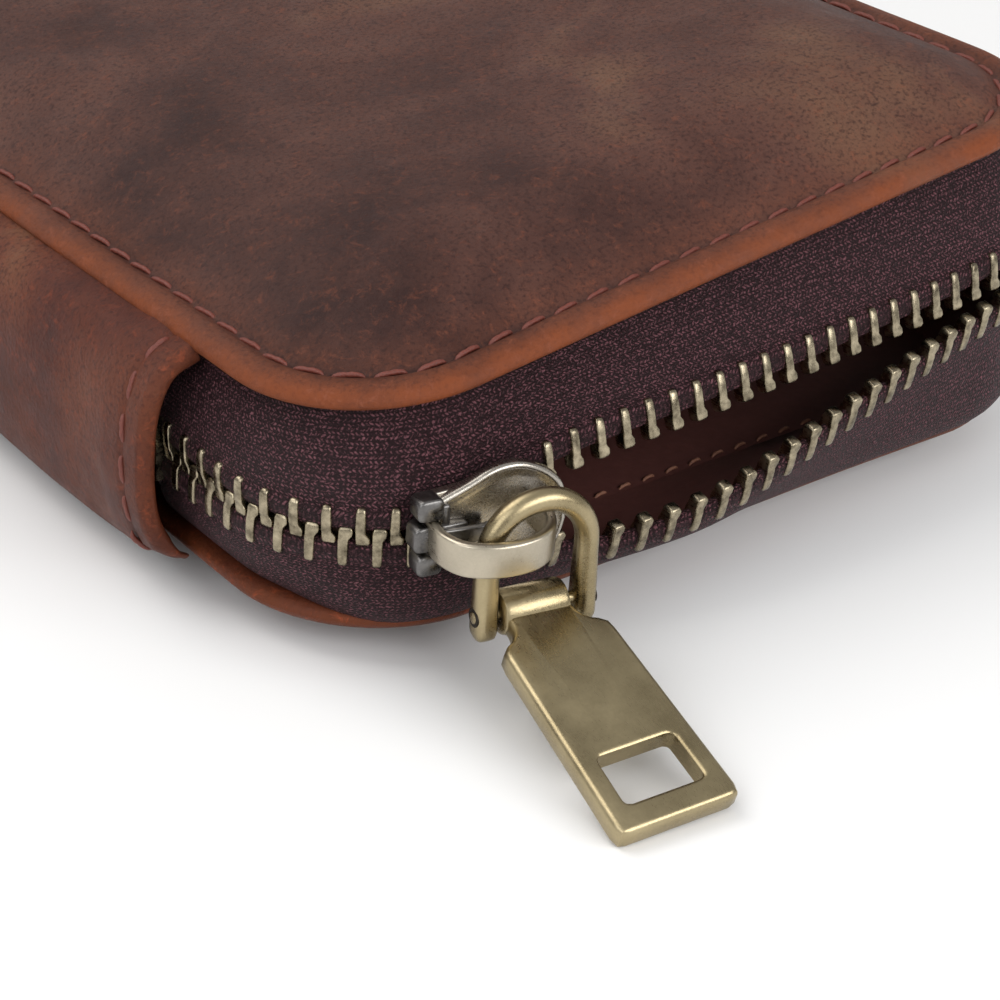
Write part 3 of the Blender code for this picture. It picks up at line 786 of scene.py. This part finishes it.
def teeth(row, up):
    """A row of cast teeth, each clamped over the tape's cord. The rows are half a pitch apart."""
    first = 1.6 if up > 0 else 1.6 + TOOTH_PITCH / 2
    bm = bmesh.new()
    count = int((PATH_LENGTH - 2.0 - first) / TOOTH_PITCH)
    for number in range(count):
        along = first + number * TOOTH_PITCH + 0.45
        tip, forward, face, to_tape = row_frame(along, row, up)
        sections = []
        for depth, low, high, half in TOOTH:
            middle = (low + high) / 2
            ring = rounded_box(high - low, 2 * half, 0.16)
            sections.append([tip + to_tape * depth + forward * (middle + a) + face * b
                             for a, b in ring])
        loft(sections, bm=bm)
    return bm


def cord(row, up):
    """The woven cord at a tape's edge, under the clamped teeth."""
    sections = []
    stations = int(PATH_LENGTH / 1.2)
    for step in range(stations + 1):
        along = PATH_LENGTH * step / stations
        tip, _, face, to_tape = row_frame(along, row, up)
        centre = tip + to_tape * 2.45
        sections.append([centre + face * 0.62 * cos(a) + to_tape * 1.15 * sin(a)
                         for a in (k * pi / 6 for k in range(12))])
    length = PATH_LENGTH / stations
    return loft(sections, weave=lambda i, j: (i * length, j * 0.45))


def rim_underside(x):
    """Height of the top rim's inner face above a point x from the middle."""
    return SPINE_RISE + (x + WIDTH / 2) * tan(GAPE)


def tape(row, up):
    """One woven tape from the cover's seam to its row of teeth."""
    stations = int(PATH_LENGTH / 1.4)
    across = 14
    sections = []
    for step in range(stations + 1):
        along = PATH_LENGTH * step / stations
        edge, outward = path_point(along)
        tip, _, _, to_tape = row_frame(along, row, up)
        hem_point = tip + to_tape * 3.1
        flat = Vector((*outward, 0.0))
        hem = Vector(((hem_point - Vector((*edge, 0.0))).dot(flat), hem_point.z))
        if up > 0:
            seam = Vector((-TAPE_INSET, rim_underside(edge.x - outward.x * TAPE_INSET) - 0.35))
        else:
            hidden = min(along, PATH_LENGTH - along)
            out = min(max((hidden - 14.0) / 12.0, 0.0), 1.0)
            out = out * out * (3.0 - 2.0 * out)
            seam = Vector((-2.0 + 1.5 * out, RIM_LIFT + RIM_THICK + 0.2 - 0.95 * out))
        lead = Vector((to_tape.dot(flat), to_tape.z))
        reach = (hem - seam).length
        start = seam + (Vector((0.55, -0.85)) if up > 0 else Vector((0.9, 0.5))) * reach * 0.33
        end = hem + lead * reach * 0.30
        middle = []
        for k in range(across + 1):
            t = k / across
            point = (seam * (1 - t) ** 3 + start * 3 * t * (1 - t) ** 2
                     + end * 3 * t * t * (1 - t) + hem * t ** 3)
            ripple = 0.12 * noise.noise(Vector((along / 9.0, t * 2.0, up))) * 4 * t * (1 - t)
            middle.append(point + Vector((ripple, 0.0)))
        sections.append([(*(edge + outward * p.x), p.y)
                         for p in skins(middle, TAPE_THICK / 2, -TAPE_THICK / 2)])
    total = 2 * (across + 1)
    length = PATH_LENGTH / stations

    def weave(i, j):
        k = j if j <= across else total - 1 - j
        return (i * length, k * 0.8)

    return loft(sections, weave=weave)


LINING_INSET = 4.8
LINING_FLOOR = RIM_LIFT + RIM_THICK + 1.35
SPINE_LINING = [(5.3, 6.6), (4.9, 8.5), (4.65, 12.0), (4.65, 16.0), (4.9, 19.2), (5.3, 20.6)]


def gusset(name, row, up, stuff):
    """The lining between the inside of a tape's hem and the edge of the cover's lining."""
    stations = int(PATH_LENGTH / 3.0)
    sections = []
    for step in range(stations + 1):
        along = PATH_LENGTH * step / stations
        edge, outward = path_point(along)
        tip, _, face, to_tape = row_frame(along, row, up)
        hem = tip + to_tape * 3.3 - face * 0.75
        inner = edge - outward * LINING_INSET
        level = rim_underside(inner.x) - 1.2 if up > 0 else LINING_FLOOR
        base = Vector((*inner, level))
        middle = hem.lerp(base, 0.5) + UP * 0.5 * up
        sections.append([p + UP * 0.15 for p in (hem, middle, base)]
                        + [p - UP * 0.15 for p in (base, middle, hem)])
    return finish_mesh(name, loft(sections), stuff, 60.0)


def lining_sheet(name, stuff, seed, rings):
    """A soft sheet over the inside of a cover, from its turned edge to its middle."""
    return finish_mesh(name, loft([[(x, y, height + sway(x, y, seed, 0.3))
                                    for x, y in outline(inset)] for inset, height in rings]),
                       stuff, 60.0)


def make_lining(paint):
    """The insides: a gusset behind each tape, a sheet in each cover, and the spine's wall."""
    lower = gusset("lower_gusset", LOWER_ROW, -1, paint["lining"])
    settle(lower, "bottom_half", "lining", "bottom_cover_lining")
    upper = gusset("upper_gusset", UPPER_ROW, 1, paint["lining"])
    settle(upper, "top_half", "lining")
    edge = LINING_INSET - 0.4
    middle = WIDTH / 2 - 0.6
    floor = lining_sheet("pocket_lining", paint["lining"], 7.0, [
        (inset, LINING_FLOOR + height) for inset, height in
        ((edge, -0.3), (edge, 0.0), (LINING_INSET + 3.0, 0.1), (12.0, 0.1), (22.0, 0.1),
         (middle, 0.1))])
    settle(floor, "bottom_half", "lining", "pocket_panel")
    ceiling = lining_sheet("top_lining", paint["lining"], 8.0,
                           ((edge, -1.0), (edge, -1.35), (LINING_INSET + 3.0, -1.5),
                            (12.0, -1.5), (22.0, -1.5), (middle, -1.5)))
    ceiling.data.transform(top_place())
    settle(ceiling, "top_half", "lining", "top_cover_lining")
    row_y = -LENGTH / 2 + 5.6
    route = [(Vector((-WIDTH / 2 + 9.0 + 3.0 * k, row_y, LINING_FLOOR + 0.12)), UP)
             for k in range(int((WIDTH - 18.0) / 3.0) + 1)]
    thread = stitches("pocket_stitches", route, paint["lining_thread"], pitch=2.7,
                      length=1.8, thick=0.32)
    settle(thread, "bottom_half", "thread", "pocket_thread")
    wall = spine_inside(paint["lining"])
    settle(wall, "bottom_half", "lining", "spine_lining")


def spine_inside(stuff):
    """The lining that stands inside the spine."""
    curve = smooth_curve(SPINE_LINING, 5)
    sections = []
    for step in range(41):
        y = (step / 40 - 0.5) * (LENGTH - 26.0)
        middle = [p + Vector((0.3 * noise.noise(Vector((y / 14.0, p.y / 9.0, 4.0))), 0.0))
                  for p in curve]
        sections.append([(p.x - WIDTH / 2, y, p.y) for p in skins(middle, 0.25, -0.25)])
    return finish_mesh("spine_inside", loft(sections), stuff, 60.0)


def make_zip(paint):
    """Tape, cord and teeth of each half."""
    halves = (("upper", UPPER_ROW, 1, "top_half"), ("lower", LOWER_ROW, -1, "bottom_half"))
    for kind, build, crease, stuff, node_name in (("tape", tape, 60.0, "tape", "zip_tape_"),
                                                  ("cord", cord, 80.0, "tape", None),
                                                  ("teeth", teeth, 50.0, "teeth", "zip_chain_")):
        for half, row, up, body in halves:
            made = finish_mesh(half + "_" + kind, build(row, up), paint[stuff], crease)
            nodes = [node_name + half] if node_name else []
            settle(made, body, stuff, *nodes)


# ---- slider and pull

SHELL_SIZE = (0.86, 0.97, 0.87)   # along the slider, out of the zip, up
SHELL_LIFT = 1.1
PLATE_OUT = 1.5          # inner face of each slider plate from the zip's middle plane
FACE_OUT = 2.6           # outer face
SHIELD = [(-6.6, 2.9), (-5.6, 3.4), (-2.8, 4.5), (-0.6, 5.5), (1.2, 5.85), (3.2, 5.6),
          (5.4, 4.5), (7.0, 2.9), (7.6, 1.0)]
STRAP = [(-6.3, 2.4), (-6.2, 4.8), (-5.2, 6.7), (-3.2, 7.75), (-0.8, 8.1), (1.6, 7.75),
         (3.4, 6.6), (4.4, 4.9), (4.7, 2.4)]
RAIL = ((-6.6, 3.45), (-3.0, 3.75), (-0.6, 4.3), (0.6, 4.72))
PAWL = ((-5.4, 3.35), (-3.2, 3.45), (-1.6, 3.4), (-0.8, 3.1))
STRAP_WIDE = 3.4
STRAP_THICK = 0.95
LOBES = ((2.75, 2.2, -7.8), (-0.15, 2.6, -8.1), (-2.95, 2.1, -7.7))   # middle, height, left end
WIRE = 2.0
BAR_SIDES = 28
ARC_STEPS = 6


def slider_place():
    """The slider's own axes: along the zip, into the pouch and up."""
    spot = Vector((SLIDER_PLACE[0] - WIDTH / 2, SLIDER_PLACE[1] - LENGTH / 2, ZIP_MIDDLE)) * MM
    return Matrix.Translation(spot) @ Matrix.Rotation(SLIDER_TURN, 4, "Z")


def bail_place():
    """The bail's axes, from its left foot on the pin."""
    foot = slider_place() @ (Vector((BAIL_PIVOT[0], -BAIL_PIVOT[1], 0.0)) * MM)
    return (Matrix.Translation((foot.x, foot.y, PIN_HEIGHT * MM))
            @ Matrix.Rotation(SLIDER_TURN, 4, "Z"))


def plate_place():
    """The pull plate's axes, from the middle of the pin, drooping outwards."""
    middle = bail_place() @ (Vector((BAIL_WIDE / 2, 0.0, 0.0)) * MM)
    return (Matrix.Translation(middle) @ Matrix.Rotation(SLIDER_TURN, 4, "Z")
            @ Matrix.Rotation(PLATE_DROP, 4, "X"))


def place_piece(name, bm, stuff, where, body, slot_name, *nodes, crease=40.0):
    """Finish a metal piece and move it from its own axes to its place."""
    made = finish_mesh(name, bm, stuff, crease)
    made.data.transform(where)
    settle(made, body, slot_name, *nodes)


def closed_inset(points, distance):
    """A closed anticlockwise outline moved inwards."""
    moved = []
    for index, point in enumerate(points):
        along = (points[(index + 1) % len(points)] - points[index - 1]).normalized()
        moved.append(point + Vector((-along.y, along.x)) * distance)
    return moved


def shield_outline(left=-20.0, shrink=1.0):
    """Closed outline of a slider plate, anticlockwise from its upper left corner."""
    top = smooth_curve(SHIELD, 5)
    half = [Vector((max(p.x, left), p.y * shrink)) for p in top]
    return [Vector((p.x, -p.y)) for p in half] + half[::-1]


def slider_plate(bm, outline_xz, profile):
    """A plate with a soft rim. profile lists (inset, distance out)."""
    sections = []
    for inset, out in profile:
        sections.append([(p.x, -out, p.y) for p in closed_inset(outline_xz, inset)])
    loft(sections, bm=bm)


def block(bm, middle, size, radius):
    """A block with rounded edges all round, its rounded outline facing out of the zip."""
    wide, deep, tall = size
    sections = []
    for share, inset in ((-0.5, 0.35), (-0.44, 0.1), (-0.36, 0.0), (0.36, 0.0), (0.44, 0.1),
                         (0.5, 0.35)):
        ring = rounded_box(wide - inset, tall - inset, radius)
        sections.append([Vector(middle) + Vector((x, share * deep, z)) for x, z in ring])
    loft(sections, bm=bm)


def sweep(bm, path, size_at, up_axis):
    """Loft rounded sections along a path. size_at gives (wide, tall, radius) by share."""
    sections = []
    for index, point in enumerate(path):
        side = ahead_at(path, index).cross(up_axis).normalized()
        wide, tall, radius = size_at(index / (len(path) - 1))
        sections.append([point + side * a + up_axis * b
                         for a, b in rounded_box(wide, tall, radius, 4)])
    loft(sections, bm=bm)


def outward_path(points, steps):
    """A curve through (along, out) points at the slider's mid height."""
    return [Vector((p.x, -p.y, 0.0)) for p in smooth_curve(points, steps)]


def slider_shell(bm):
    """Both plates with dished faces, their four guide rails, and the wedge between them."""
    rim = [(0.12, PLATE_OUT), (0.0, PLATE_OUT + 0.15), (0.0, FACE_OUT - 0.30),
           (0.10, FACE_OUT - 0.08), (0.32, FACE_OUT + 0.04), (0.62, FACE_OUT + 0.02),
           (0.95, FACE_OUT - 0.14), (1.5, FACE_OUT - 0.20), (2.2, FACE_OUT - 0.18)]
    slider_plate(bm, shield_outline(), rim)
    back = [(inset, -out) for inset, out in rim[::-1]]
    slider_plate(bm, shield_outline(-6.4, 0.94), back)
    for up in (1, -1):
        for out in (1.45, -1.45):
            route = [Vector((x, out, z * up)) for x, z in RAIL]
            sweep(bm, route, lambda share: (0.55, 0.9, 0.15), Vector((0.0, 1.0, 0.0)))
    block(bm, (5.6, 0.0, 0.0), (3.6, 3.4, 1.5), 0.6)


def slider_nose(bm):
    """Three lobes at the slider's closed end, on a bar, with the lug that holds the strap."""
    for middle, tall, left in LOBES:
        block(bm, ((left - 5.2) / 2, -2.05, middle), (-5.2 - left, 2.0, tall), 0.6)
    block(bm, (-5.2, -2.35, 0.0), (1.2, 1.3, 6.2), 0.3)
    block(bm, (-4.2, -2.75, 0.0), (2.6, 0.9, 2.3), 0.25)


def slider_strap(bm):
    sweep(bm, outward_path(STRAP, 6), lambda share: (STRAP_THICK, STRAP_WIDE, 0.33), UP)


def locking_pawl(bm):
    sweep(bm, outward_path(PAWL, 4), lambda share: (0.6, 1.9 - 0.5 * share, 0.2), UP)


def make_slider(paint):
    where = (slider_place() @ Matrix.Translation(Vector((0.0, 0.0, SHELL_LIFT)) * MM)
             @ Matrix.Diagonal((*SHELL_SIZE, 1.0)))
    for name, build, stuff, body, node_name in (
            ("slider_shell", slider_shell, "slider", "slider", "slider_body"),
            ("slider_nose", slider_nose, "slider_nose", "slider", "slider_body"),
            ("slider_strap", slider_strap, "strap", "slider", "slider_bridge"),
            ("pawl", locking_pawl, "slider_nose", "pawl", "locking_pawl")):
        bm = bmesh.new()
        build(bm)
        place_piece(name, bm, paint[stuff], where, body, "slider", node_name)


def bail_path():
    """Up one leg, over the arch and down the other."""
    radius = (BAIL_WIDE - BAIL_LEFT) / 2
    leg = [Vector((BAIL_LEFT, 0.0, BAIL_FOOT + (BAIL_SHOULDER - BAIL_FOOT) * (k / 14) ** 1.4))
           for k in range(15)]
    arc = [Vector((BAIL_LEFT + radius - radius * cos(pi * k / 24), 0.0,
                   BAIL_SHOULDER + radius * sin(pi * k / 24))) for k in range(1, 24)]
    return leg + arc + [Vector((BAIL_WIDE, 0.0, p.z)) for p in leg[::-1]]


def wire_section(point, side):
    """The wire's outline at a point: round above, squarer and deeper towards its feet."""
    above = min(point.z - BAIL_FOOT, 8.0) if point.z < BAIL_SHOULDER else 8.0
    flat = max(0.0, 1.0 - above / 6.5)
    end = sqrt(max(1.0 - (1.0 - min(above / 1.1, 1.0)) ** 2, 0.03))
    wide = WIRE / 2 * (1.0 - 0.10 * flat) * (0.55 + 0.45 * end)
    deep = WIRE / 2 * (1.0 + 0.20 * flat) * end
    power = 2.0 + 2.0 * flat
    ring = []
    for k in range(20):
        angle = k * pi / 10
        c, n = cos(angle), sin(angle)
        reach = (abs(c) ** power + abs(n) ** power) ** (-1 / power)
        ring.append(point + side * (wide * reach * c) + Vector((0.0, deep * reach * n, 0.0)))
    return ring


def make_bail(paint):
    """Bent wire: round over the arch, hammered flat at its two feet, with a pin through them."""
    where = bail_place()
    path = bail_path()
    sections = [wire_section(point, ahead_at(path, index).cross(Vector((0.0, 1.0, 0.0))))
                for index, point in enumerate(path)]
    place_piece("bail_wire", loft(sections), paint["pull"], where, "bail", "pull", "pull_bail",
                crease=70.0)
    left, right = BAIL_LEFT, BAIL_WIDE
    bm = bmesh.new()
    turned_bar(bm, [(left - 1.06, 0.30), (left - 1.02, 0.48), (left - 0.90, 0.52),
                    (right + 0.90, 0.52), (right + 1.02, 0.48), (right + 1.06, 0.30)])
    place_piece("pin", bm, paint["pull"], where, "bail", "pull", "pull_pin")
    # A near-black ring round each end of the pin, on the wire's feet: painted shade in the gap of
    # the pin's hole.
    bm = bmesh.new()
    turned_bar(bm, [(left - 0.97, 0.60), (left - 0.95, 0.80), (left - 0.5, 0.80)])
    turned_bar(bm, [(right + 0.5, 0.80), (right + 0.95, 0.80), (right + 0.97, 0.60)])
    place_piece("pin_ring", bm, paint["pin_ring"], where, "bail", "pull", "pull_pin")


def turned_bar(bm, profile):
    """A turned bar along x. profile lists (x, radius)."""
    angles = [2 * pi * k / BAR_SIDES for k in range(BAR_SIDES)]
    loft([[(x, r * cos(a), r * sin(a)) for a in angles] for x, r in profile], bm=bm)


def resample(points, count):
    """Points spread evenly along a polyline, without its last point."""
    lengths = run_lengths(points)
    spread = []
    index = 0
    for step in range(count):
        goal = lengths[-1] * step / count
        while lengths[index + 1] < goal:
            index += 1
        share = (goal - lengths[index]) / max(lengths[index + 1] - lengths[index], 1e-6)
        spread.append(points[index].lerp(points[index + 1], share))
    return spread


def corner_arc(x, y, radius, start):
    """A quarter turn of an outline, from a start angle in degrees."""
    angles = [radians(start + 90 * k / ARC_STEPS) for k in range(ARC_STEPS + 1)]
    return [Vector((x + radius * cos(a), y + radius * sin(a))) for a in angles]


def blade_loops():
    """Matching points round the pull plate's outline and round its window."""
    tip = -PLATE_REACH
    low_left = corner_arc(-4.75, tip + 0.75, 0.75, 180)
    low_right = corner_arc(4.75, tip + 0.75, 0.75, 270)
    right = [Vector((4.95, -4.4)), Vector((4.75, -3.9)), Vector((4.2, -3.5))]
    neck = [Vector(p) for p in ((3.5, -3.15), (3.05, -2.6), (2.9, -1.9), (2.85, -0.9))]
    left_neck = [Vector((-p.x, p.y)) for p in neck[::-1]]
    left = [Vector((-p.x, p.y)) for p in right[::-1]]
    w_low_left = corner_arc(-3.05, tip + 2.85, 0.55, 180)
    w_low_right = corner_arc(3.05, tip + 2.85, 0.55, 270)
    w_up_right = corner_arc(2.95, tip + 6.45, 0.55, 0)
    w_up_left = corner_arc(-2.95, tip + 6.45, 0.55, 90)
    sides = ((low_left[3:] + low_right[:4], w_low_left[3:] + w_low_right[:4], 16),
             (low_right[3:] + right, w_low_right[3:] + w_up_right[:4], 22),
             (right[-1:] + neck + left_neck + left[:1], w_up_right[3:] + w_up_left[:4], 20),
             (left + low_left[:4], w_up_left[3:] + w_low_left[:4], 22))
    outer, window = [], []
    for outside, inside, count in sides:
        outer += resample(outside, count)
        window += resample(inside, count)
    return outer, window


def make_plate(paint):
    """The pull plate: a thick blade with soft edges, a window, and a rolled eye on the pin."""
    half = PLATE_THICK / 2
    outer, window = blade_loops()
    rings = []
    for inset, height in ((0.42, -half), (0.12, -half + 0.12), (0.0, -half + 0.42),
                          (0.0, half - 0.55), (0.08, half - 0.25), (0.28, half - 0.06),
                          (0.50, half)):
        rings.append([(p.x, p.y, height) for p in closed_inset(outer, inset)])
    for inset, height in ((-0.42, half + 0.02), (-0.16, half - 0.02), (-0.03, half - 0.14),
                          (0.0, half - 0.4), (0.0, -half + 0.2), (-0.2, -half)):
        rings.append([(p.x, p.y, height) for p in closed_inset(window, inset)])
    askew = Matrix.Rotation(PLATE_SKEW, 3, "Z")
    rings = [[askew @ Vector(p) for p in ring] for ring in rings]
    bm = loft(rings, joined=True)
    turned_bar(bm, [(-2.90, 0.9), (-2.92, 1.45), (-2.75, 1.78), (-2.45, 1.9), (2.45, 1.9),
                    (2.75, 1.78), (2.92, 1.45), (2.90, 0.9)])
    place_piece("plate_blade", bm, paint["pull"], plate_place(), "plate", "pull", "pull_plate")


# ---- plain CAD pieces

def paint_cad(paint):
    """CAD nodes that keep their shape get the matching material."""
    kept = {"board": ("bottom_cover_board", "top_cover_board"),
            "teeth": ("bottom_stop", "top_stop_upper", "top_stop_lower")}
    for stuff, names in kept.items():
        for name in names:
            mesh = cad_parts[name].data
            mesh.materials.clear()
            mesh.materials.append(paint[stuff])


def main():
    make_camera()
    make_light()
    make_floor()
    paint = make_materials()
    make_covers(paint)
    make_spine(paint)
    make_zip(paint)
    make_lining(paint)
    make_slider(paint)
    make_bail(paint)
    make_plate(paint)
    paint_cad(paint)


main()
